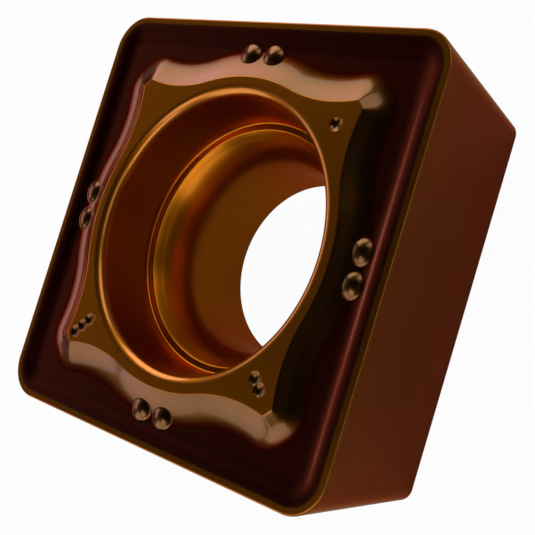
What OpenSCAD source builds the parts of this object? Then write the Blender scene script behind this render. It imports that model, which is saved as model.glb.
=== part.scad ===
// Square indexable insert of coated cemented carbide, held by one screw.
// It is pressed and sintered as one piece. The origin is the centre of the seating face, the
// screw hole runs along Z, and the cutting edges lie round the top.

/* [Insert body] */
// Diameter of the circle inscribed in the cutting edge, seen from above
inscribed_d = 9.525; // [9.2:0.005:12.7]
// Height of the cutting edge above the seating face
edge_h = 3.97; // [3.6:0.01:5.2]
// Radius of the four corners at the cutting edge
corner_r = 0.8; // [0.7:0.05:1.2]
// Clearance angle by which each flank leans in under the cutting edge
clearance_angle = 7; // [3:0.5:9]

/* [Screw hole] */
// Diameter of the cylindrical part that the screw passes through
hole_d = 4.4; // [3.5:0.05:4.7]
// Width and height of the edge break at the seating face
hole_break = 0.05; // [0.02:0.01:0.15]
// Radius of the bell-shaped seat that the screw head presses on, in section
seat_r = 1.6; // [1.3:0.05:2]
// Widening of the seat on each side, from the hole to the ledge
seat_w = 0.49; // [0.35:0.01:0.6]
// Radius of the rounded edge between the seat and the ledge
ledge_r = 0.06; // [0.03:0.01:0.08]
// Width of the ledge round the top of the seat
ledge_w = 0.21; // [0.18:0.01:0.28]
// Depth of the ledge below the cutting edge
ledge_depth = 1.24; // [0.9:0.01:1.5]
// Widening of the recess wall on each side, from the ledge to the rim
wall_flare = 0.17; // [0.05:0.01:0.3]
// Width of the rounded rim round the recess
rim_w = 0.22; // [0.15:0.01:0.28]
// Drop of the rounded rim below the plateau
rim_drop = 0.18; // [0.1:0.01:0.2]

/* [Chip breaker] */
// Width of the flat land behind the cutting edge
land_w = 0.155; // [0.1:0.005:0.25]
// Width of the rake face, from the land to the groove floor
rake_w = 0.53; // [0.45:0.01:0.65]
// Radius at which the rake face falls from the land
rake_r = 0.92; // [0.6:0.02:1.1]
// Depth of the groove below the cutting edge
groove_depth = 0.08; // [0.06:0.005:0.1]
// Width from the land to the plateau at the middle of a side
groove_w = 1.15; // [1:0.01:1.25]
// Height of the plateau above the cutting edge
plateau_rise = 0.13; // [0.06:0.01:0.2]
// Slope of the plateau's side
slope_angle = 25; // [20:0.5:30]
// Height over which the foot of that slope blends into the groove
foot_blend = 0.11; // [0.04:0.01:0.14]

/* [Plateau outline] */
// How far the plateau's wavy side draws back from its middle to its waist
wave_depth = 0.36; // [0.2:0.01:0.45]
// Radius of the hollow curve at the waist
waist_r = 3.35; // [2.5:0.05:4]
// Distance along the side from the waist out to the level of the tip
ear_run = 0.87; // [0.75:0.01:0.95]
// Length of the flat across each of the plateau's four tips
tip_cut = 0.19; // [0.1:0.01:0.3]
// Radius at both ends of that flat
tip_r = 0.06; // [0.03:0.01:0.12]

/* [Bumps] */
// Diameter of each round bump at the groove floor
bump_d = 0.56; // [0.45:0.01:0.62]
// Height of each bump above the groove floor
bump_h = 0.09; // [0.06:0.01:0.12]
// Distance between the two bumps of a pair
bump_pitch = 0.65; // [0.5:0.01:0.8]
// Distance of the bumps from the plateau's edge
bump_reach = 0.52; // [0.45:0.01:0.6]

/* [Corner marks] */
// Diameter of each round dimple in the plateau
mark_d = 0.29; // [0.2:0.01:0.34]
// Depth of each dimple
mark_depth = 0.045; // [0.03:0.005:0.08]
// Distance between neighbouring dimples
mark_pitch = 0.25; // [0.2:0.01:0.32]
// Distance from the rim of the recess to the nearest dimple's centre
mark_gap = 0.34; // [0.25:0.01:0.42]

/* [Hidden] */
$fn = 96;

// Body
half_w = inscribed_d / 2;
corner_at = half_w - corner_r;
base_inset = edge_h * tan(clearance_angle);
plateau_z = edge_h + plateau_rise;
// How far a cutting shape reaches past the face that it cuts
over = 0.1;

// Screw hole, from the bottom up
hole_r = hole_d / 2;
ledge_z = edge_h - ledge_depth;
seat_top_r = hole_r + seat_w;
seat_angle = acos(1 - seat_w / seat_r);
seat_top_z = ledge_z - ledge_r;
seat_z = seat_top_z - seat_r * sin(seat_angle);
wall_foot_r = seat_top_r + ledge_w;
rim_angle = 2 * atan(rim_drop / rim_w);
rim_r = rim_w / sin(rim_angle);
rim_foot_r = wall_foot_r + wall_flare;
rim_top_r = rim_foot_r + rim_w;
arc_steps = 8;
ledge_steps = 3;

// Chip breaker, in section
land_in = half_w - land_w;
land_r = corner_r - land_w;
floor_z = edge_h - groove_depth;
rake_turn = 2 * atan(groove_depth / rake_w);
rake_crest = rake_r * sin(rake_turn);
rake_hollow_r = rake_w / sin(rake_turn) - rake_r;
rake_start = rake_w / 4;
slope_fall = tan(slope_angle);
slope_run = (plateau_z - floor_z) / slope_fall;
foot_run = foot_blend / slope_fall;
slope_over = tip_r / 2;
roof_z = plateau_z + 1;
rake_steps = 5;
foot_steps = 10;

// Plateau outline: an arc about the middle of each side, an arc about each waist and a small
// arc at each end of a tip's flat, each tangent to the next
plateau_mid = land_in - groove_w;
waist_h = plateau_mid - wave_depth;
waist_at = waist_h - ear_run;
mid_r = (pow(waist_at, 2) + pow(wave_depth, 2)) / (2 * wave_depth) - waist_r;
mid_c = [0, plateau_mid - mid_r];
waist_c = [waist_at, waist_h + waist_r];
tip_aside = tip_cut / sqrt(8);
waist_sum = waist_c.x + waist_c.y;
tip_reach = pow(waist_r + tip_r, 2) - pow(waist_c.x + tip_aside, 2) - pow(waist_c.y - tip_aside, 2);
tip_at = (waist_sum - sqrt(pow(waist_sum, 2) + 2 * tip_reach)) / 2;
tip_c = [tip_at - tip_aside, tip_at + tip_aside];
mid_turn = atan2(waist_c.y - mid_c.y, waist_c.x - mid_c.x);
tip_turn = atan2(waist_c.y - tip_c.y, waist_c.x - tip_c.x);
mid_steps = 5;
waist_steps = 7;
tip_steps = 4;
side_steps = mid_steps + waist_steps;

// Bumps and dimples
bump_r = (pow(bump_d / 2, 2) + pow(bump_h, 2)) / (2 * bump_h);
bump_at = plateau_mid + bump_reach;
mark_r = (pow(mark_d / 2, 2) + pow(mark_depth, 2)) / (2 * mark_depth);
// Each marked corner's direction, number of dimples and first place: a single one lies between
// the first two places
mark_rows = [[45, 1, 0.5], [-45, 2, 0], [-135, 3, 0]];

function polar(c, r, a) = c + r * [cos(a), sin(a)];

// Points of an arc about c, from angle a0 to angle a1
function arc(c, r, a0, a1, steps) = [for (i = [0:steps]) polar(c, r, a0 + (a1 - a0) * i / steps)];

function but_last(list) = [for (i = [0:len(list) - 2]) list[i]];

// Half of the plateau's top side, from its middle to the tip, moved outward by out
function plateau_half(out) = concat(
  but_last(arc(mid_c, mid_r + out, 90, mid_turn, mid_steps)),
  but_last(arc(waist_c, waist_r - out, mid_turn - 180, tip_turn - 180, waist_steps)),
  arc(tip_c, tip_r + out, tip_turn, 45, tip_steps),
  [polar([tip_at, tip_at], tip_r + out, 45)]);

// The same half of the land's inner edge, with as many points
function land_half(out) = concat(
  [for (i = [0:side_steps - 1]) [corner_at * i / side_steps, land_in + out]],
  arc([corner_at, corner_at], land_r + out, 90, 45, tip_steps + 1));

// Completes half a side to the whole way round, without a point twice
function mirrored(half) = [for (i = [len(half) - 2:-1:1]) [half[i].y, half[i].x]];
function turned(p, a) = [p.x * cos(a) + p.y * sin(a), p.y * cos(a) - p.x * sin(a)];
function all_round(half) = [for (turn = [0:90:270], p = concat(half, mirrored(half))) turned(p, turn)];

function level(half, z) = [for (p = all_round(half)) [p.x, p.y, z]];
function between(a, b, t) = [for (i = [0:len(a) - 1]) a[i] * (1 - t) + b[i] * t];

// Distance inward from the land's inner edge, and the height of the rake face there
function inward(p) =
  let (qx = abs(p.x) - corner_at, qy = abs(p.y) - corner_at)
  land_r - norm([max(qx, 0), max(qy, 0)]) - min(max(qx, qy), 0);
function rake_z(d) =
  d < rake_crest ? edge_h - rake_r + sqrt(pow(rake_r, 2) - pow(d, 2)) :
  d < rake_w ? floor_z + rake_hollow_r - sqrt(pow(rake_hollow_r, 2) - pow(rake_w - d, 2)) :
  floor_z;
function raked(half) = [for (p = all_round(half)) [p.x, p.y, rake_z(inward(p))]];

// The higher of two heights, with the foot's blend where they meet
function blended(a, b) = max(a, b) + pow(max(foot_blend - abs(a - b), 0), 2) / (4 * foot_blend);

// Ring of the slope that far out from the plateau's edge, blended into the groove at its foot
function slope_ring(out) = [
  for (p = all_round(plateau_half(out)))
    [p.x, p.y, blended(rake_z(inward(p)), plateau_z - out * slope_fall)]];

// Everything above the rake faces, the groove and the plateau's slope, as one closed ring
module groove_space() {
  rake = land_half(-rake_start);
  foot = plateau_half(slope_run + foot_run);
  start_fall = (edge_h - rake_z(rake_start)) / rake_start;
  outer = level(land_half(over), edge_h + over * start_fall);
  inner = level(plateau_half(-slope_over), plateau_z + slope_over * slope_fall);
  roof = [for (p = between(outer, inner, 0.5)) [p.x, p.y, roof_z]];
  rings = concat(
    [outer],
    [for (i = [0:rake_steps - 1]) raked(between(rake, foot, i / rake_steps))],
    [for (i = [0:foot_steps]) slope_ring(slope_run + foot_run * (1 - 2 * i / foot_steps))],
    [inner, roof]);
  n = len(outer);
  m = len(rings);
  faces = [
    for (i = [0:m - 1], j = [0:n - 1])
      let (a = i * n, b = (i + 1) % m * n, k = (j + 1) % n)
      each [[a + j, b + k, a + k], [a + j, b + j, b + k]]];
  polyhedron([for (ring = rings) each ring], faces, convexity = 8);
}

// Tapered bar along Y that ends at the corner centres
module flank_bar() {
  base_w = half_w - base_inset;
  rotate([90, 0, 0])
    linear_extrude(2 * corner_at, center = true)
      polygon([[-base_w, 0], [base_w, 0], [half_w, edge_h], [-half_w, edge_h]]);
}

// Quarter cone that rounds the flanks into each other at a corner
module flank_corner() {
  rotate_extrude(angle = 90)
    polygon([[0, 0], [corner_r - base_inset, 0], [corner_r, edge_h], [0, edge_h]]);
}

// The insert before the chip breaker and the hole: its plateau stands on it as a block
module blank() {
  block_half = plateau_mid + slope_run;
  for (turn = [0, 90])
    rotate(turn) flank_bar();
  for (turn = [0:90:270])
    rotate(turn) translate([corner_at, corner_at, 0]) flank_corner();
  translate([-block_half, -block_half, floor_z / 2])
    cube([2 * block_half, 2 * block_half, plateau_z - floor_z / 2]);
}

// The hole, its bell-shaped screw seat, the ledge, and the recess with its rounded rim
module screw_hole() {
  seat = arc([hole_r + seat_r, seat_z], seat_r, 180, 180 - seat_angle, arc_steps);
  ledge_edge = arc([seat_top_r + ledge_r, seat_top_z], ledge_r, 180 - seat_angle, 90, ledge_steps);
  ledge_foot = arc([wall_foot_r - ledge_r, ledge_z + ledge_r], ledge_r, -90, 0, ledge_steps);
  rim = arc([rim_top_r, plateau_z - rim_r], rim_r, 90 + rim_angle, 90, arc_steps);
  rotate_extrude()
    polygon(concat(
      [[0, -over], [hole_r + hole_break + over, -over], [hole_r, hole_break]],
      seat, ledge_edge, ledge_foot, but_last(rim),
      [[rim_top_r + over, plateau_z + over], [0, plateau_z + over]]));
}

module bumps() {
  for (turn = [0:90:270], side = [-0.5, 0.5])
    rotate(turn)
      translate([side * bump_pitch, bump_at, floor_z + bump_h - bump_r])
        sphere(bump_r);
}

module corner_marks() {
  for (row = mark_rows, i = [0:row[1] - 1])
    rotate(row[0])
      translate([rim_top_r + mark_gap + (row[2] + i) * mark_pitch, 0, plateau_z - mark_depth + mark_r])
        sphere(mark_r);
}

module insert() {
  color([0.33, 0.17, 0.05]) {
    difference() {
      blank();
      groove_space();
      screw_hole();
      corner_marks();
    }
    bumps();
  }
}

insert();
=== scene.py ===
"""A square carbide insert with a golden brown coating, on a pale studio floor.

The insert is one pressed piece. It is grown here as one eighth of its skin, ring after ring
from the seating face over the cutting edge and down the screw hole, and then mirrored and
turned into the whole. Sizes are in metres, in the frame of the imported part.
"""

import math

import bmesh
import bpy
from bpy.props import FloatProperty, FloatVectorProperty, PointerProperty
from mathutils import Matrix, Vector


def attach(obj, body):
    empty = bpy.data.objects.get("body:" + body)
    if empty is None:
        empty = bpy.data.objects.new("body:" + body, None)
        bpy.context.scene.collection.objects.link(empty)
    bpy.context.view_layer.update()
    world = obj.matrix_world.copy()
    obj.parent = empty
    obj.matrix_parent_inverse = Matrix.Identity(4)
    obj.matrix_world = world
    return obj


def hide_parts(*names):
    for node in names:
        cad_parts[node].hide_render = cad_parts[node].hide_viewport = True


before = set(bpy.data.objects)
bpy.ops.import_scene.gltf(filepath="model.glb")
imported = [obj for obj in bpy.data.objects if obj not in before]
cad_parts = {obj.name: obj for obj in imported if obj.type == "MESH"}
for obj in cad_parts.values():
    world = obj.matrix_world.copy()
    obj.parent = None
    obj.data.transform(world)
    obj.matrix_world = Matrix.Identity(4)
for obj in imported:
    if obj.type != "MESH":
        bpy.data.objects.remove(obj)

bl_info = {
    "name": "Carbide insert",
    "version": (1, 0, 0),
    "blender": (4, 5, 0),
    "location": "View3D > Sidebar > Insert",
    "description": "Models a coated square insert and the studio round it",
    "category": "Add Mesh",
}

MM = 0.001
QUARTER_TURN = math.pi / 2
EIGHTH_TURN = math.pi / 4
NODE = "insert"
# Points closer than this are one
MERGE = 0.0005 * MM
# Steps from ring to ring in each stretch of the skin, from the base over the cutting edge to
# the plateau
BASE_STEPS = 3
FLANK_STEPS = 5
HONE_STEPS = 6
LAND_STEPS = 2
RAKE_STEPS = 14
FOOT_STEPS = 25
SLOPE_STEPS = 3
LIP_STEPS = 4
# The same from the plateau down the recess, the seat and the hole
PLATEAU_STEPS = 17
RIM_STEPS = 10
WALL_STEPS = 6
CORNER_STEPS = 5
LEDGE_STEPS = 6
SEAT_STEPS = 16
HOLE_STEPS = 5
# Steps at the slope's foot over which the groove's painted shade turns into the slope's
# painted highlight tint
FADE_STEPS = 11
# How far a flat's last ring lies from its rounded edge, in general, from the hole's edge, from
# the base's edge, and as a share of the plateau
HOLD = 0.012 * MM
HOLE_MARGIN = 0.02 * MM
BASE_MARGIN = 0.1 * MM
PLATEAU_MARGIN = 0.01
# Share of its ball's radius out to which a cap is round
CAP_SHARE = 0.92
# Each marked corner's direction in degrees, number of dimples and first place: a single one
# lies between the first two places
CORNER_DIMPLES = ((45, 1, 0.5), (-45, 2, 0), (-135, 3, 0))
# How far from a dimple's middle the plateau is cut finer, as a share of the dimple's diameter,
# and how many cuts each edge gets there
DIMPLE_REACH = 0.72
DIMPLE_CUTS = 3
# Where the coating's three colours lie on its scale of tints
RED_BROWN, BRONZE, GOLD_BROWN = 0.0, 0.5, 1.0
# The coating of each face: its tint, and its share of the clear gloss. They paint light and
# shade on what is one even coating: the dark red brown with little gloss is painted shade in
# the groove and on the rake, and the paler, glossier tints of the slopes, bumps, land and rim
# are painted highlight
FLANK = (BRONZE, 0.15)
LAND = (0.8, 0.5)
RAKE = (0.14, 0.8)
GROOVE_SHADE = (RED_BROWN, 0.1)
SLOPE = (0.48, 0.9)
BUMP_HIGHLIGHT = (BRONZE, 0.9)
PLATEAU = (GOLD_BROWN, 0.4)
DIMPLE = (BRONZE, 0.7)
RIM = (GOLD_BROWN, 1.0)
RECESS = (GOLD_BROWN, 0.15)


def length(name, description, mm):
    """A size that a user may change, kept in metres."""
    return FloatProperty(
        name=name, description=description, default=mm * MM, min=0.0, unit="LENGTH", precision=5
    )


def angle(name, description, degrees):
    """An angle that a user may change, kept in radians."""
    return FloatProperty(
        name=name, description=description, default=math.radians(degrees), subtype="ANGLE"
    )


def colour(name, description, rgb):
    """A colour that a user may change, in linear light."""
    return FloatVectorProperty(
        name=name, description=description, default=rgb, min=0.0, max=1.0, subtype="COLOR"
    )


def share(name, description, value):
    """A number from 0 to 1 that a user may change."""
    return FloatProperty(name=name, description=description, default=value, min=0.0, max=1.0)


# Sizes and colours


class InsertBody(bpy.types.PropertyGroup):
    inscribed: length("Inscribed circle", "Diameter of the circle inside the cutting edge", 9.525)
    edge_height: length("Edge height", "Cutting edge above the seating face", 3.97)
    corner_radius: length("Corner radius", "Radius of the corners at the cutting edge", 0.8)
    clearance: angle("Clearance", "Lean of the flanks in under the cutting edge", 7)
    hone: length("Hone", "Radius of the honed cutting edge", 0.035)
    base_round: length("Base round", "Radius of the edge round the seating face", 0.03)
    land: length("Land", "Width of the flat land behind the cutting edge", 0.155)


class ChipBreaker(bpy.types.PropertyGroup):
    groove_depth: length("Groove depth", "Groove floor below the cutting edge", 0.08)
    groove_width: length("Groove width", "From the land to the plateau at mid side", 1.15)
    rake_width: length("Rake width", "Rake face, from the land to the groove floor", 0.53)
    rake_round: length("Rake round", "Radius at which the rake face falls from the land", 0.92)
    plateau_rise: length("Plateau rise", "Plateau above the cutting edge", 0.13)
    slope: angle("Slope", "Slope of the plateau's side", 25)
    slope_foot: length("Slope foot", "Height over which the slope blends into the groove", 0.11)
    plateau_round: length("Plateau round", "Radius of the plateau's edge", 0.1)
    wave_depth: length("Wave depth", "From the plateau's middle back to its waist", 0.36)
    waist_radius: length("Waist radius", "Radius of the hollow curve at the waist", 3.35)
    ear_run: length("Ear run", "Along the side from the waist to the tip's level", 0.87)
    tip_cut: length("Tip cut", "Length of the flat across each of the plateau's tips", 0.19)
    tip_radius: length("Tip radius", "Radius at both ends of that flat", 0.06)


class PressedMarks(bpy.types.PropertyGroup):
    bump: length("Bump", "Diameter of each bump in the groove", 0.56)
    bump_height: length("Bump height", "Bump above the groove floor", 0.09)
    bump_pitch: length("Bump pitch", "Distance between two bumps of a pair", 0.65)
    bump_reach: length("Bump reach", "From the plateau's edge out to the bumps", 0.52)
    bump_fillet: length("Bump fillet", "Height over which a bump blends into the groove", 0.02)
    dimple: length("Dimple", "Diameter of each dimple in the plateau", 0.29)
    dimple_depth: length("Dimple depth", "Depth of each dimple", 0.045)
    dimple_pitch: length("Dimple pitch", "Distance between neighbouring dimples", 0.25)
    dimple_gap: length("Dimple gap", "From the recess's rim to the nearest dimple", 0.34)
    dimple_fillet: length("Dimple fillet", "Height over which a dimple's lip is rounded", 0.012)


class ScrewRecess(bpy.types.PropertyGroup):
    hole: length("Hole", "Diameter that the screw passes through", 4.4)
    hole_break: length("Hole break", "Edge break at the seating face", 0.05)
    seat_radius: length("Seat radius", "Radius of the bell-shaped seat, in section", 1.6)
    seat_width: length("Seat width", "Widening of the seat on each side", 0.49)
    ledge_round: length("Ledge round", "Radius of the edge between seat and ledge", 0.06)
    ledge_width: length("Ledge width", "Width of the ledge round the seat", 0.21)
    ledge_depth: length("Ledge depth", "Ledge below the cutting edge", 1.24)
    wall_flare: length("Wall flare", "Widening of the recess wall on each side", 0.17)
    rim_width: length("Rim width", "Width of the rounded rim round the recess", 0.22)
    rim_drop: length("Rim drop", "Drop of the rounded rim below the plateau", 0.18)


class Coating(bpy.types.PropertyGroup):
    # These three tints paint light and shade on one even coating: red brown is painted shade for
    # the groove, and bronze and gold brown are the lighter tones of the better lit faces
    gold_brown: colour("Gold brown", "Coating on the plateau and in the recess",
                       (0.38, 0.112, 0.003))
    bronze: colour("Bronze", "Coating on the flank and the slopes", (0.092, 0.036, 0.004))
    shaded_red_brown: colour("Red brown", "Coating in the groove", (0.15, 0.005, 0.001))
    sheen: colour("Sheen", "Coating's reflection at a low angle", (0.9, 0.42, 0.2))
    roughness: share("Roughness", "Roughness of the red brown coating", 0.2)
    gold_roughness: share("Gold roughness", "Roughness of the gold brown coating", 0.3)
    gloss: share("Gloss", "Weight of the clear gloss over the colour", 0.45)
    gloss_roughness: share("Gloss roughness", "Roughness of the clear gloss", 0.1)
    cloud: length("Cloud", "Size of the soft changes of tint", 1.6)
    drift: share("Drift", "Most that the tint changes by", 0.03)
    grain: length("Grain", "Size of the coating's grain", 0.05)
    grain_depth: length("Grain depth", "Height of the coating's grain", 0.0004)


class Studio(bpy.types.PropertyGroup):
    floor_colour: colour("Floor", "Colour of the floor", (0.85, 0.85, 0.85))
    floor_glow: share("Floor glow", "Share of plain white in the floor for the camera", 0.96)
    mirrored_glow: share("Mirrored glow", "Share of plain white in the mirrored floor", 0.11)
    surround: share("Surround", "Brightness of the studio's walls", 0.3)
    overhead: share("Overhead", "Brightness of the studio's ceiling", 0.0)
    front: share("Front", "Brightness of the wall toward +X, as a share of the others", 0.25)
    floor_size: length("Floor size", "Length of the floor's sides", 1600)


GROUPS = {
    "insert_body": InsertBody,
    "insert_breaker": ChipBreaker,
    "insert_marks": PressedMarks,
    "insert_recess": ScrewRecess,
    "insert_coating": Coating,
    "insert_studio": Studio,
}


# Shape of the insert


def arc(centre, radius, start, end, steps):
    """Points of an arc in section or in plan, angles in radians."""
    return [
        Vector((centre[0] + radius * math.cos(a), centre[1] + radius * math.sin(a)))
        for a in (start + (end - start) * i / steps for i in range(steps + 1))
    ]


def stretch(a, b, steps, hold=HOLD):
    """Points of a straight line between two rounded ones, with one close to each end so that
    the rounding's shading doesn't spread over the line, and at most a quarter of it in."""
    a, b = Vector(a), Vector(b)
    edge = min(hold / (b - a).length, 0.25)
    inner = [edge + (1 - 2 * edge) * i / steps for i in range(steps + 1)]
    return [a.lerp(b, t) for t in inner]


def soft_max(a, b, blend):
    """The higher of two heights, with a fillet where they meet."""
    near = max(blend - abs(a - b), 0.0) / blend
    return max(a, b) + near * near * blend / 4


def cap_height(distance, radius, top):
    """Height of a ball's cap whose top lies at top, carried on as a cone past its steep part."""
    steep = CAP_SHARE * radius
    inside = min(distance, steep)
    drop = radius - math.sqrt(radius * radius - inside * inside)
    return top - drop - (distance - inside) * steep / math.sqrt(radius * radius - steep * steep)


def ball_radius(diameter, height):
    """Radius of the ball whose cap has that diameter and height."""
    return ((diameter / 2) ** 2 + height**2) / (2 * height)


class Eighth:
    """The columns of points that every ring of one eighth of the insert has, from the middle
    of the +Y side to the corner between +X and +Y."""

    # Columns along the plateau's edge: close ones by the bumps, the rest of its middle, the
    # waist, the tip's rounding and half the tip's flat
    CLOSE, MIDDLE, WAIST, TIP, CUT = 24, 11, 20, 5, 7
    # How far from the side's middle the close columns go
    CLOSE_RUN = 0.66 * MM
    # Share of the corner's turn that the columns of the tip's rounding take
    TIP_SHARE = 0.2

    def __init__(self, body, breaker):
        self.half = body.inscribed / 2
        self.corner = self.half - body.corner_radius
        self.land_in = self.half - body.land
        self.plateau_mid = self.land_in - breaker.groove_width
        self.waist_r, self.tip_r = breaker.waist_radius, breaker.tip_radius
        waist_h = self.plateau_mid - breaker.wave_depth
        waist_x = waist_h - breaker.ear_run
        self.mid_r = (waist_x**2 + breaker.wave_depth**2) / (2 * breaker.wave_depth) - self.waist_r
        self.mid = Vector((0, self.plateau_mid - self.mid_r))
        self.waist = Vector((waist_x, waist_h + self.waist_r))
        # Half the tip's flat, along each axis. The tip's rounding touches the waist's curve.
        self.aside = breaker.tip_cut / math.sqrt(8)
        beside = self.waist + Vector((self.aside, -self.aside))
        both = beside.x + beside.y
        reach = (self.waist_r + self.tip_r) ** 2 - beside.length_squared
        self.tip_at = (both - math.sqrt(both**2 + 2 * reach)) / 2

        self.columns = self.CLOSE + self.MIDDLE + self.WAIST + self.TIP + self.CUT
        along = [p.x for p in self.outline(0)[:self.CLOSE + self.MIDDLE + self.WAIST + 1]]
        widen = (self.corner - self.CLOSE_RUN) / (along[-1] - self.CLOSE_RUN)
        self.along = [
            x if x < self.CLOSE_RUN else self.CLOSE_RUN + (x - self.CLOSE_RUN) * widen
            for x in along
        ]
        rest = 1 - self.TIP_SHARE
        shares = [self.TIP_SHARE * i / self.TIP for i in range(1, self.TIP)]
        shares += [self.TIP_SHARE + rest * i / self.CUT for i in range(self.CUT + 1)]
        self.turns = [QUARTER_TURN - EIGHTH_TURN * share for share in shares]

    def outline(self, out):
        """Points of the plateau's wavy edge moved outward."""
        tip = Vector((self.tip_at - self.aside, self.tip_at + self.aside))
        close_turn = math.acos(self.CLOSE_RUN / self.mid_r)
        mid_turn = math.atan2(self.waist.y - self.mid.y, self.waist.x - self.mid.x)
        tip_turn = math.atan2(self.waist.y - tip.y, self.waist.x - tip.x)
        waist_r = self.waist_r - out
        rounding = arc(tip, self.tip_r + out, tip_turn, EIGHTH_TURN, self.TIP)
        diagonal = rounding[-1] + Vector((self.aside, -self.aside))
        return [
            *arc(self.mid, self.mid_r + out, QUARTER_TURN, close_turn, self.CLOSE)[:-1],
            *arc(self.mid, self.mid_r + out, close_turn, mid_turn, self.MIDDLE)[:-1],
            *arc(self.waist, waist_r, mid_turn - math.pi, tip_turn - math.pi, self.WAIST)[:-1],
            *rounding[:-1],
            *(rounding[-1].lerp(diagonal, i / self.CUT) for i in range(self.CUT + 1)),
        ]

    def square(self, reach, z):
        """Ring that follows the cutting edge, reach from the axis on each side."""
        straight = [Vector((x, reach, z)) for x in self.along]
        rounded = [
            Vector((self.corner, self.corner, z))
            + (reach - self.corner) * Vector((math.cos(a), math.sin(a), 0))
            for a in self.turns
        ]
        return straight + rounded

    def plateau(self, out, z):
        """Ring that follows the plateau's wavy edge, out from it."""
        return [Vector((*p, z)) for p in self.outline(out)]

    def circle(self, radius, z):
        """Ring about the axis."""
        turns = (QUARTER_TURN - EIGHTH_TURN * i / self.columns for i in range(self.columns + 1))
        return [Vector((radius * math.cos(a), radius * math.sin(a), z)) for a in turns]


def between(ring, other, t):
    """Ring that lies the share t of the way from one ring to another."""
    return [a.lerp(b, t) for a, b in zip(ring, other)]


def flank_rings(eighth, body, hole_edge):
    """From the seating face up the flank and over the honed edge to the land."""
    lean = math.tan(body.clearance)

    def flank_at(z):
        return eighth.half - (body.edge_height - z) * lean

    r, hone = body.base_round, body.hone
    base_in = flank_at(r) - r / math.cos(body.clearance)
    edge_z = body.edge_height - hone
    edge_in = flank_at(edge_z) - hone / math.cos(body.clearance)
    base = arc((base_in, r), r, -QUARTER_TURN, -body.clearance, BASE_STEPS)
    edge = arc((edge_in, edge_z), hone, -body.clearance, QUARTER_TURN, HONE_STEPS)
    flank = stretch(base[-1], edge[0], FLANK_STEPS)
    land = stretch(edge[-1], (eighth.land_in, body.edge_height), LAND_STEPS)
    seating = [eighth.circle(hole_edge, 0), eighth.circle(hole_edge + HOLE_MARGIN, 0)]
    foot = stretch((base_in - BASE_MARGIN, 0), base[0], 1)
    return seating + [eighth.square(p.x, p.y) for p in (*foot, *base, *flank, *edge, *land)]


def rake_height(point, eighth, body, breaker):
    """Height of the rake face and the groove floor at a point, by its distance in from the
    land."""
    turn = 2 * math.atan(breaker.groove_depth / breaker.rake_width)
    crest = breaker.rake_round
    hollow = breaker.rake_width / math.sin(turn) - crest
    past_x, past_y = abs(point.x) - eighth.corner, abs(point.y) - eighth.corner
    outward = math.hypot(max(past_x, 0), max(past_y, 0)) + min(max(past_x, past_y), 0)
    inward = body.corner_radius - body.land - outward
    if inward < crest * math.sin(turn):
        return body.edge_height - crest + math.sqrt(crest**2 - max(inward, 0) ** 2)
    left = max(breaker.rake_width - inward, 0)
    return body.edge_height - breaker.groove_depth + hollow - math.sqrt(hollow**2 - left**2)


def groove_rings(eighth, body, breaker, marks, last):
    """From the land down the rake face, across the groove and up the slope to the plateau."""
    top = body.edge_height + breaker.plateau_rise
    fall = math.tan(breaker.slope)
    foot = (breaker.plateau_rise + breaker.groove_depth) / fall
    spread = breaker.slope_foot / fall
    lip = breaker.plateau_round
    lip_run = lip * math.tan(breaker.slope / 2)
    foot_line = stretch((foot + spread, 0), (foot - spread, 0), FOOT_STEPS, 0)
    slope_line = stretch((foot - spread, 0), (lip_run, 0), SLOPE_STEPS)
    outs = [p.x for p in foot_line + slope_line[1:]]
    rings = []
    for out in outs:
        ring = eighth.plateau(out, 0)
        for p in ring:
            p.z = soft_max(rake_height(p, eighth, body, breaker), top - out * fall,
                           breaker.slope_foot)
        rings.append(ring)
    rake_rings = [between(last, rings[0], i / RAKE_STEPS) for i in range(1, RAKE_STEPS)]
    for p in (p for ring in rake_rings for p in ring):
        p.z = rake_height(p, eighth, body, breaker)
    rings = rake_rings + rings

    ball = ball_radius(marks.bump, marks.bump_height)
    at = eighth.plateau_mid + marks.bump_reach
    bump_top = body.edge_height - breaker.groove_depth + marks.bump_height
    for p in (p for ring in rings for p in ring):
        for side in (-0.5, 0.5):
            away = math.hypot(p.x - side * marks.bump_pitch, p.y - at)
            p.z = soft_max(p.z, cap_height(away, ball, bump_top), marks.bump_fillet)
    lip_line = [
        (lip * math.sin(a) - lip_run, top - lip * (1 - math.cos(a)))
        for a in (breaker.slope * i / LIP_STEPS for i in reversed(range(LIP_STEPS)))
    ]
    return rings + [eighth.plateau(out, z) for out, z in lip_line]


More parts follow.
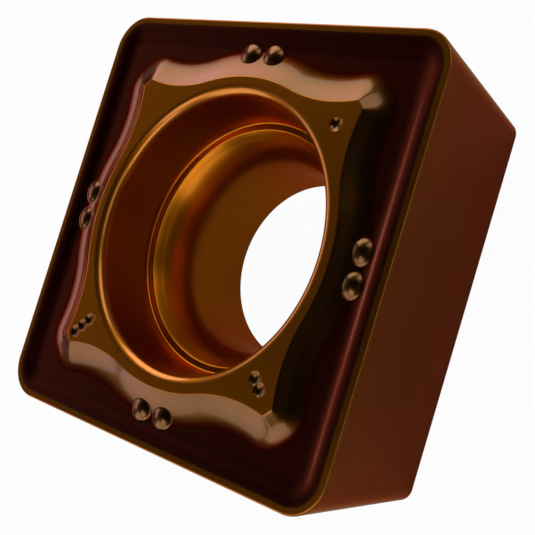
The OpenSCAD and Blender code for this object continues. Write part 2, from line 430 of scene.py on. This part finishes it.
def recess_rings(eighth, body, breaker, recess, last):
    """From the plateau over the rim and down the recess, the seat and the hole."""
    top = body.edge_height + breaker.plateau_rise
    hole_r = recess.hole / 2
    ledge_z = body.edge_height - recess.ledge_depth
    seat_top_r = hole_r + recess.seat_width
    seat_turn = math.acos(1 - recess.seat_width / recess.seat_radius)
    seat_top = ledge_z - recess.ledge_round
    seat_z = seat_top - recess.seat_radius * math.sin(seat_turn)
    wall_foot = seat_top_r + recess.ledge_width
    rim_turn = 2 * math.atan(recess.rim_drop / recess.rim_width)
    rim_r = recess.rim_width / math.sin(rim_turn)
    rim_foot = wall_foot + recess.wall_flare
    rim_top = rim_foot + recess.rim_width
    rim = arc((rim_top, top - rim_r), rim_r, QUARTER_TURN, QUARTER_TURN + rim_turn, RIM_STEPS)
    r = recess.ledge_round
    corner = arc((wall_foot - r, ledge_z + r), r, 0, -QUARTER_TURN, CORNER_STEPS)
    lip = arc((seat_top_r + r, seat_top), r, QUARTER_TURN, math.pi - seat_turn, LEDGE_STEPS)
    seat = arc((hole_r + recess.seat_radius, seat_z), recess.seat_radius, math.pi - seat_turn,
               math.pi, SEAT_STEPS)
    hole_foot = Vector((hole_r, recess.hole_break))
    edge = Vector((hole_r + recess.hole_break, 0))
    line = [*rim, *stretch(rim[-1], corner[0], WALL_STEPS), *corner,
            *stretch(corner[-1], lip[0], 1), *lip, *seat[1:],
            *stretch(seat[-1], hole_foot, HOLE_STEPS), hole_foot,
            *stretch(hole_foot, edge, 1), edge]
    rim_ring = eighth.circle(rim_top, top)
    shares = (i / PLATEAU_STEPS for i in range(1, PLATEAU_STEPS))
    flat = [between(last, rim_ring, t) for t in (PLATEAU_MARGIN, *shares, 1 - PLATEAU_MARGIN)]
    return flat + [eighth.circle(p.x, p.y) for p in line], rim_top


def coats_of(flank, groove, inner):
    """The tint and gloss of every ring, in the order of the rings, which paint light and shade on
    the one coating. The groove's painted shade changes to the slope's painted highlight over the
    slope's foot, and the plateau's begins within the plateau's rounded edge."""
    edge, lip = HONE_STEPS + LAND_STEPS, LIP_STEPS - 1
    plateau, rim = PLATEAU_STEPS + 1, RIM_STEPS + 2
    coats = [FLANK] * (len(flank) - edge) + [LAND] * edge + [RAKE] * RAKE_STEPS
    for i in range(len(groove) - RAKE_STEPS - lip):
        fade = min(i / FADE_STEPS, 1)
        coats.append([a + (b - a) * fade for a, b in zip(GROOVE_SHADE, SLOPE)])
    coats += [PLATEAU] * (lip + plateau) + [RIM] * rim
    return coats + [RECESS] * (len(inner) - plateau - rim)


def grow(bm, rings, coats):
    """Skin of one eighth: a row of points drawn on from ring to ring, each with its tint and
    gloss, which paint light and shade on the coating.
    """
    column = bm.verts.layers.int.new("column")
    tint = bm.verts.layers.float.new("tint")
    gloss = bm.verts.layers.float.new("gloss")
    verts = []
    for i, place in enumerate(rings[0]):
        v = bm.verts.new(place)
        v[column] = i
        v[tint], v[gloss] = coats[0]
        verts.append(v)
    edges = [bm.edges.new(pair) for pair in zip(verts, verts[1:])]
    for ring, coat in zip(rings[1:], coats[1:]):
        grown = bmesh.ops.extrude_edge_only(bm, edges=edges)["geom"]
        front = {g for g in grown if isinstance(g, bmesh.types.BMVert)}
        for v in front:
            v.co = ring[v[column]]
            v[tint], v[gloss] = coat
        edges = [g for g in grown if isinstance(g, bmesh.types.BMEdge) and set(g.verts) <= front]
    bm.verts.layers.int.remove(column)


def complete(bm):
    """Mirrors the eighth to a side, and turns the side into all four."""
    bmesh.ops.mirror(bm, geom=bm.verts[:] + bm.edges[:] + bm.faces[:],
                     matrix=Matrix.Identity(4), merge_dist=-1, axis="X")
    bmesh.ops.spin(bm, geom=bm.verts[:] + bm.edges[:] + bm.faces[:], cent=(0, 0, 0),
                   axis=(0, 0, 1), angle=3 * QUARTER_TURN, steps=3, use_duplicate=True)
    bmesh.ops.remove_doubles(bm, verts=bm.verts[:], dist=MERGE)


def paint_bump_highlights(bm, marks, at, floor_z):
    """Gives the bumps, two on each side, a paler, glossier tint than the groove round them, as
    painted highlight.
    """
    tint, gloss = (bm.verts.layers.float[name] for name in ("tint", "gloss"))
    for v in bm.verts:
        aside, out = sorted((abs(v.co.x), abs(v.co.y)))
        away = math.hypot(aside - marks.bump_pitch / 2, out - at)
        if away < marks.bump / 2 and v.co.z > floor_z:
            v[tint], v[gloss] = BUMP_HIGHLIGHT


def flat_near(bm, top, dots, reach):
    """Points of the plateau within reach of one of the dots."""
    return [v for v in bm.verts if abs(v.co.z - top) < MERGE
            and min((v.co.xy - dot).length for dot in dots) < reach]


def press_dimples(bm, marks, top, rim_top):
    """Presses one, two and three dimples into the plateau at three of its corners."""
    ball = ball_radius(marks.dimple, marks.dimple_depth)
    tint, gloss = (bm.verts.layers.float[name] for name in ("tint", "gloss"))
    for corner, count, first in CORNER_DIMPLES:
        way = Vector((math.cos(math.radians(corner)), math.sin(math.radians(corner))))
        nearest = rim_top + marks.dimple_gap + first * marks.dimple_pitch
        dots = [way * (nearest + i * marks.dimple_pitch) for i in range(count)]
        near = set(flat_near(bm, top, dots, marks.dimple * DIMPLE_REACH))
        edges = [e for e in bm.edges if set(e.verts) <= near]
        bmesh.ops.subdivide_edges(bm, edges=edges, cuts=DIMPLE_CUTS, use_grid_fill=True)
        for v in flat_near(bm, top, dots, marks.dimple):
            pit = max(cap_height((v.co.xy - dot).length, ball, marks.dimple_depth) for dot in dots)
            v.co.z = top - soft_max(0, pit, marks.dimple_fillet)
            # The pits get a darker bronze tint with more gloss than the plateau: painted shade and
            # highlight
            if pit > 0:
                v[tint], v[gloss] = DIMPLE


# Coating

# Between these values lies most of a noise texture
NOISE_RANGE = (0.3, 0.7)


def add_node(tree, kind, **values):
    """A shader node with its settings and the values of its named inputs."""
    made = tree.nodes.new(kind)
    for name, value in values.items():
        if hasattr(made, name):
            setattr(made, name, value)
        else:
            made.inputs[name.replace("_", " ")].default_value = value
    return made


def connect(tree, *pairs):
    """Links each output to the input beside it."""
    for output, socket in pairs:
        tree.links.new(output, socket)


def coated_carbide(coating):
    """The coating: a metal whose colour and roughness follow the tint, which is set per face to
    paint light and shade on it, with soft changes of tint and a fine grain, under a clear gloss."""
    material = bpy.data.materials.new("coated_carbide")
    material.use_nodes = True
    tree = material.node_tree
    shader = tree.nodes["Principled BSDF"]
    shader.inputs["Metallic"].default_value = 1.0
    shader.inputs["Specular Tint"].default_value = (*coating.sheen, 1)
    shader.inputs["Coat Roughness"].default_value = coating.gloss_roughness
    place = tree.nodes.new("ShaderNodeTexCoord")

    tint = add_node(tree, "ShaderNodeAttribute", attribute_name="tint")
    clouds = add_node(tree, "ShaderNodeTexNoise", Scale=1 / coating.cloud, Detail=3.0)
    drift = add_node(tree, "ShaderNodeMapRange", From_Min=NOISE_RANGE[0], From_Max=NOISE_RANGE[1],
                     To_Min=-coating.drift, To_Max=coating.drift)
    drifted = add_node(tree, "ShaderNodeMath", operation="ADD")
    shade = tree.nodes.new("ShaderNodeValToRGB")
    ramp = shade.color_ramp.elements
    ramp[0].position, ramp[0].color = RED_BROWN, (*coating.shaded_red_brown, 1)
    ramp[1].position, ramp[1].color = GOLD_BROWN, (*coating.gold_brown, 1)
    ramp.new(BRONZE).color = (*coating.bronze, 1)
    polish = add_node(tree, "ShaderNodeMapRange", To_Min=coating.roughness,
                      To_Max=coating.gold_roughness)
    connect(
        tree,
        (place.outputs["Object"], clouds.inputs["Vector"]),
        (clouds.outputs["Fac"], drift.inputs["Value"]),
        (tint.outputs["Fac"], drifted.inputs[0]),
        (drift.outputs["Result"], drifted.inputs[1]),
        (drifted.outputs[0], shade.inputs["Fac"]),
        (shade.outputs["Color"], shader.inputs["Base Color"]),
        (tint.outputs["Fac"], polish.inputs["Value"]),
        (polish.outputs["Result"], shader.inputs["Roughness"]),
    )

    gloss = add_node(tree, "ShaderNodeAttribute", attribute_name="gloss")
    weight = add_node(tree, "ShaderNodeMath", operation="MULTIPLY")
    weight.inputs[1].default_value = coating.gloss
    grain = add_node(tree, "ShaderNodeTexNoise", Scale=1 / coating.grain, Detail=2.0)
    bump = add_node(tree, "ShaderNodeBump", Strength=1.0, Distance=coating.grain_depth)
    connect(
        tree,
        (gloss.outputs["Fac"], weight.inputs[0]),
        (weight.outputs[0], shader.inputs["Coat Weight"]),
        (place.outputs["Object"], grain.inputs["Vector"]),
        (grain.outputs["Fac"], bump.inputs["Height"]),
        (bump.outputs["Normal"], shader.inputs["Normal"]),
    )
    return material


# Stage

# Where the camera stands, in millimetres, and the way it looks and is held
CAMERA_AT = (14.652559, -1.448761, 18.973160)
CAMERA_LOOK = (-0.645534, 0.053096, -0.761883)
CAMERA_UP = (-0.189938, 0.955076, 0.227493)
# Its focal length and the picture's side in pixels, its sensor's side in millimetres, and the
# nearest and farthest distance that it sees, in metres
FOCAL_PIXELS = 985.167
PICTURE_PIXELS = 535
SENSOR = 36.0
CLIP = (1 * MM, 10.0)

LAMP_DISTANCE = 120 * MM
# Each lamp's name, the directions that it fills, from and to in degrees round the insert and
# above the floor, and its brightness
LAMPS = (
    ("left_softbox", (112, 150), (1, 38), 3.2),
    ("right_softbox", (-150, -112), (1, 42), 1.9),
    ("back_strip", (163, 195), (7, 28), 1.5),
    ("left_panel", (48, 104), (36, 58), 2.2),
    ("right_panel", (-138, -96), (45, 68), 2.6),
    ("front_panel", (-30, 30), (45, 64), 1.4),
    ("right_fill", (-90, -30), (28, 50), 2.4),
)
# Degrees above the floor over which the walls darken, and the range of a direction's part along
# +X over which the front wall does
WALL_FADE = (10, 75)
FRONT_FADE = (-0.2, 0.6)


def camera():
    """The camera that took the photo, as far as its outlines tell."""
    look, up = Vector(CAMERA_LOOK).normalized(), Vector(CAMERA_UP).normalized()
    right = look.cross(up).normalized()
    data = bpy.data.cameras.new("camera")
    data.sensor_width = SENSOR
    data.lens = SENSOR * FOCAL_PIXELS / PICTURE_PIXELS
    data.clip_start, data.clip_end = CLIP
    placed = bpy.data.objects.new("camera", data)
    turned = Matrix((right, right.cross(look), -look)).transposed().to_4x4()
    placed.matrix_world = Matrix.Translation(Vector(CAMERA_AT) * MM) @ turned
    bpy.context.scene.collection.objects.link(placed)
    bpy.context.scene.camera = placed


def lamp(name, around, above, brightness):
    """A soft lamp that faces the insert. Brightness 1 shows as white."""
    round_mid, above_mid = (math.radians(sum(pair) / 2) for pair in (around, above))
    round_half, above_half = (math.radians(pair[1] - pair[0]) / 2 for pair in (around, above))
    data = bpy.data.lights.new(name, "AREA")
    data.shape = "RECTANGLE"
    data.size = 2 * LAMP_DISTANCE * math.tan(round_half) * math.cos(above_mid)
    data.size_y = 2 * LAMP_DISTANCE * math.tan(above_half)
    data.energy = brightness * math.pi * data.size * data.size_y
    placed = bpy.data.objects.new(name, data)
    to = Vector((math.cos(above_mid) * math.cos(round_mid),
                 math.cos(above_mid) * math.sin(round_mid), math.sin(above_mid)))
    placed.location = to * LAMP_DISTANCE
    placed.rotation_euler = to.to_track_quat("Z", "Y").to_euler()
    bpy.context.scene.collection.objects.link(placed)


def surround(studio):
    """An empty studio that is pale near the floor, dark overhead and in front, and white for
    the camera."""
    world = bpy.data.worlds.new("studio")
    world.use_nodes = True
    tree = world.node_tree
    background = tree.nodes["Background"]
    background.inputs["Color"].default_value = (1, 1, 1, 1)
    way = tree.nodes.new("ShaderNodeTexCoord")
    split = tree.nodes.new("ShaderNodeSeparateXYZ")
    low, high = (math.sin(math.radians(degrees)) for degrees in WALL_FADE)
    upward = add_node(tree, "ShaderNodeMapRange", interpolation_type="SMOOTHSTEP",
                      From_Min=low, From_Max=high,
                      To_Min=studio.surround, To_Max=studio.overhead)
    ahead = add_node(tree, "ShaderNodeMapRange", interpolation_type="SMOOTHSTEP",
                     From_Min=FRONT_FADE[0], From_Max=FRONT_FADE[1],
                     To_Min=1.0, To_Max=studio.front)
    walls = add_node(tree, "ShaderNodeMath", operation="MULTIPLY")
    rays = tree.nodes.new("ShaderNodeLightPath")
    seen = add_node(tree, "ShaderNodeMath", operation="MAXIMUM")
    connect(
        tree,
        (way.outputs["Generated"], split.inputs[0]),
        (split.outputs["Z"], upward.inputs["Value"]),
        (split.outputs["X"], ahead.inputs["Value"]),
        (upward.outputs["Result"], walls.inputs[0]),
        (ahead.outputs["Result"], walls.inputs[1]),
        (walls.outputs[0], seen.inputs[0]),
        (rays.outputs["Is Camera Ray"], seen.inputs[1]),
        (seen.outputs[0], background.inputs["Strength"]),
    )
    return world


def pale_floor(studio):
    """Pale paint with a share of plain white for the camera and for the insert's reflections."""
    material = bpy.data.materials.new("pale_floor")
    material.use_nodes = True
    tree = material.node_tree
    tree.nodes.clear()
    out = tree.nodes.new("ShaderNodeOutputMaterial")
    paint = tree.nodes.new("ShaderNodeBsdfDiffuse")
    paint.inputs["Color"].default_value = (*studio.floor_colour, 1)
    white = tree.nodes.new("ShaderNodeEmission")
    rays = tree.nodes.new("ShaderNodeLightPath")
    seen = add_node(tree, "ShaderNodeMath", operation="MULTIPLY")
    seen.inputs[1].default_value = studio.floor_glow
    mirrored = add_node(tree, "ShaderNodeMath", operation="MULTIPLY")
    mirrored.inputs[1].default_value = studio.mirrored_glow
    amount = add_node(tree, "ShaderNodeMath", operation="ADD")
    mix = tree.nodes.new("ShaderNodeMixShader")
    connect(
        tree,
        (rays.outputs["Is Camera Ray"], seen.inputs[0]),
        (rays.outputs["Is Glossy Ray"], mirrored.inputs[0]),
        (seen.outputs[0], amount.inputs[0]),
        (mirrored.outputs[0], amount.inputs[1]),
        (amount.outputs[0], mix.inputs["Fac"]),
        (paint.outputs[0], mix.inputs[1]),
        (white.outputs[0], mix.inputs[2]),
        (mix.outputs[0], out.inputs["Surface"]),
    )
    return material


def floor(studio):
    """A pale floor that takes the insert's shadow and otherwise shows nearly white."""
    bm = bmesh.new()
    bmesh.ops.create_grid(bm, x_segments=1, y_segments=1, size=studio.floor_size / 2)
    mesh = bpy.data.meshes.new("floor")
    bm.to_mesh(mesh)
    bm.free()
    mesh.materials.append(pale_floor(studio))
    placed = bpy.data.objects.new("floor", mesh)
    bpy.context.scene.collection.objects.link(placed)


# Operators


class INSERT_OT_add_insert(bpy.types.Operator):
    """Models the insert and coats it"""

    bl_idname = "insert.add_insert"
    bl_label = "Insert"

    def execute(self, context):
        scene = context.scene
        body, breaker = scene.insert_body, scene.insert_breaker
        marks, recess = scene.insert_marks, scene.insert_recess
        eighth = Eighth(body, breaker)
        flank = flank_rings(eighth, body, recess.hole / 2 + recess.hole_break)
        groove = groove_rings(eighth, body, breaker, marks, flank[-1])
        inner, rim_top = recess_rings(eighth, body, breaker, recess, groove[-1])
        bm = bmesh.new()
        grow(bm, flank + groove + inner, coats_of(flank, groove, inner))
        complete(bm)
        paint_bump_highlights(bm, marks, eighth.plateau_mid + marks.bump_reach,
                   body.edge_height - breaker.groove_depth)
        press_dimples(bm, marks, body.edge_height + breaker.plateau_rise, rim_top)
        bmesh.ops.recalc_face_normals(bm, faces=bm.faces[:])
        if any(len(e.link_faces) != 2 for e in bm.edges):
            raise RuntimeError("the insert's skin isn't closed")
        mesh = bpy.data.meshes.new("coated_insert")
        bm.to_mesh(mesh)
        bm.free()
        mesh.shade_smooth()
        mesh.materials.append(coated_carbide(scene.insert_coating))
        piece = bpy.data.objects.new("coated_insert", mesh)
        scene.collection.objects.link(piece)
        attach(piece, "root")
        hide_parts(NODE)
        return {"FINISHED"}


class INSERT_OT_add_stage(bpy.types.Operator):
    """Adds the floor, the lamps, the surround and the camera"""

    bl_idname = "insert.add_stage"
    bl_label = "Stage"

    def execute(self, context):
        studio = context.scene.insert_studio
        floor(studio)
        for settings in LAMPS:
            lamp(*settings)
        context.scene.world = surround(studio)
        context.scene.view_settings.view_transform = "Standard"
        camera()
        return {"FINISHED"}


class INSERT_PT_panel(bpy.types.Panel):
    """Sizes, colours and the two steps"""

    bl_idname = "INSERT_PT_panel"
    bl_label = "Carbide insert"
    bl_space_type = "VIEW_3D"
    bl_region_type = "UI"
    bl_category = "Insert"

    def draw(self, context):
        for name, group in GROUPS.items():
            box = self.layout.box()
            box.label(text=group.__name__)
            for key in group.__annotations__:
                box.prop(getattr(context.scene, name), key)
        self.layout.operator(INSERT_OT_add_insert.bl_idname)
        self.layout.operator(INSERT_OT_add_stage.bl_idname)


CLASSES = (*GROUPS.values(), INSERT_OT_add_insert, INSERT_OT_add_stage, INSERT_PT_panel)


def register():
    for cls in CLASSES:
        bpy.utils.register_class(cls)
    for name, group in GROUPS.items():
        setattr(bpy.types.Scene, name, PointerProperty(type=group))


def unregister():
    for name in GROUPS:
        delattr(bpy.types.Scene, name)
    for cls in reversed(CLASSES):
        bpy.utils.unregister_class(cls)


def main():
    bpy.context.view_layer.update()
    register()
    bpy.ops.insert.add_insert()
    bpy.ops.insert.add_stage()


if __name__ == "__main__":
    main()
